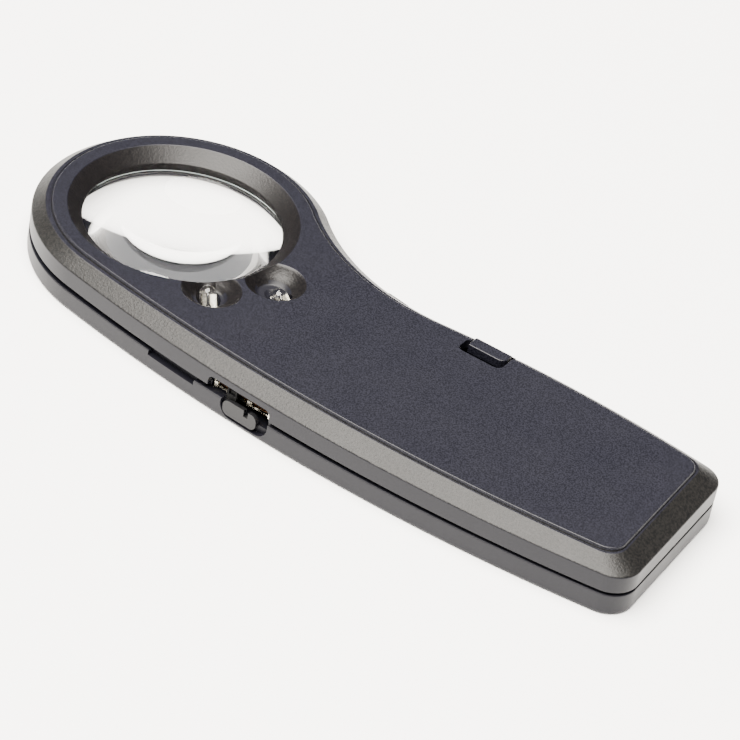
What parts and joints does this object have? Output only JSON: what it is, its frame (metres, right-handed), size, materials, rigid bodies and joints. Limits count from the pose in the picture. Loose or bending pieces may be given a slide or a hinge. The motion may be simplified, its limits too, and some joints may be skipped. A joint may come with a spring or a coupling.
{
  "type": "hand-held illuminated magnifier",
  "caption": "Slim hand-held reading magnifier: a round lens in a ring, a flat handle, a slide switch for a white light and a push button for an ultraviolet light.",
  "frame": {"origin": "centre of the casing's outline, on the plane of its underside", "axes": "+X from the lens along the handle to the square end, +Y to the side of the push button and of the latch, +Z from the underside to the top face"},
  "size_m": [0.1342, 0.0592, 0.0104],
  "materials": {
    "casing_abs": "finely textured charcoal",
    "lens_acrylic": "polished clear acrylic",
    "gasket_rubber": "black rubber",
    "led_epoxy": "clear moulded epoxy",
    "cell_steel": "nickel-plated steel",
    "contact_nickel": "nickel-plated spring strip",
    "board_epoxy_glass": "green solder mask",
    "tinned_steel": "tinned stamped sheet",
    "phenolic": "brown phenolic board",
    "pin_brass": "brass",
    "button_abs": "smooth charcoal",
    "black_nylon": "moulded black nylon",
    "resistor_body": "dipped coating",
    "red_pvc": "red wire insulation",
    "black_pvc": "black wire insulation",
    "zinc_steel": "zinc-plated steel"
  },
  "bodies": {
    "casing": {"top_shell": "casing_abs", "bottom_shell": "casing_abs", "lens": "lens_acrylic", "lens_gasket": "gasket_rubber", "white_led": "led_epoxy", "uv_led": "led_epoxy", "battery_1": "cell_steel", "battery_2": "cell_steel", "positive_contact": "contact_nickel", "negative_contact": "contact_nickel", "circuit_board": "board_epoxy_glass", "switch_can": "tinned_steel", "switch_base": "phenolic", "switch_pin_common": "pin_brass", "switch_pin_white": "pin_brass", "switch_pin_off": "pin_brass", "tact_switch": "black_nylon", "white_resistor": "resistor_body", "uv_resistor": "resistor_body", "red_wire": "red_pvc", "black_wire": "black_pvc", "case_screw_1": "zinc_steel", "case_screw_2": "zinc_steel", "case_screw_3": "zinc_steel", "case_screw_4": "zinc_steel"},
    "cover": {"battery_cover": "casing_abs"},
    "latch": {"cover_latch": "casing_abs"},
    "slider": {"switch_knob": "button_abs", "switch_lever": "black_nylon", "switch_wiper": "pin_brass"},
    "button": {"uv_button": "button_abs", "tact_plunger": "black_nylon"}
  },
  "joints": [
    {"name": "battery_cover_swing", "type": "hinge", "parent": "casing", "child": "cover", "pos_m": [0.01997, -0.0219, 0], "axis": [-1, 0, 0], "range_deg": [0, 60]},
    {"name": "cover_latch_flex", "type": "hinge", "parent": "cover", "child": "latch", "pos_m": [0.01997, 0.01148, 0.001], "axis": [1, 0, 0], "range_deg": [0, 9], "stiffness_Nm_per_rad": 0.05},
    {"name": "switch_slide", "type": "slide", "parent": "casing", "child": "slider", "axis": [0.997, -0.0778, 0], "range_m": [0, 0.0018]},
    {"name": "uv_button_press", "type": "slide", "parent": "casing", "child": "button", "axis": [-0.1609, -0.987, 0], "range_m": [0, 0.0006], "stiffness_N_per_m": 400, "springref_m": -0.0003}
  ]
}
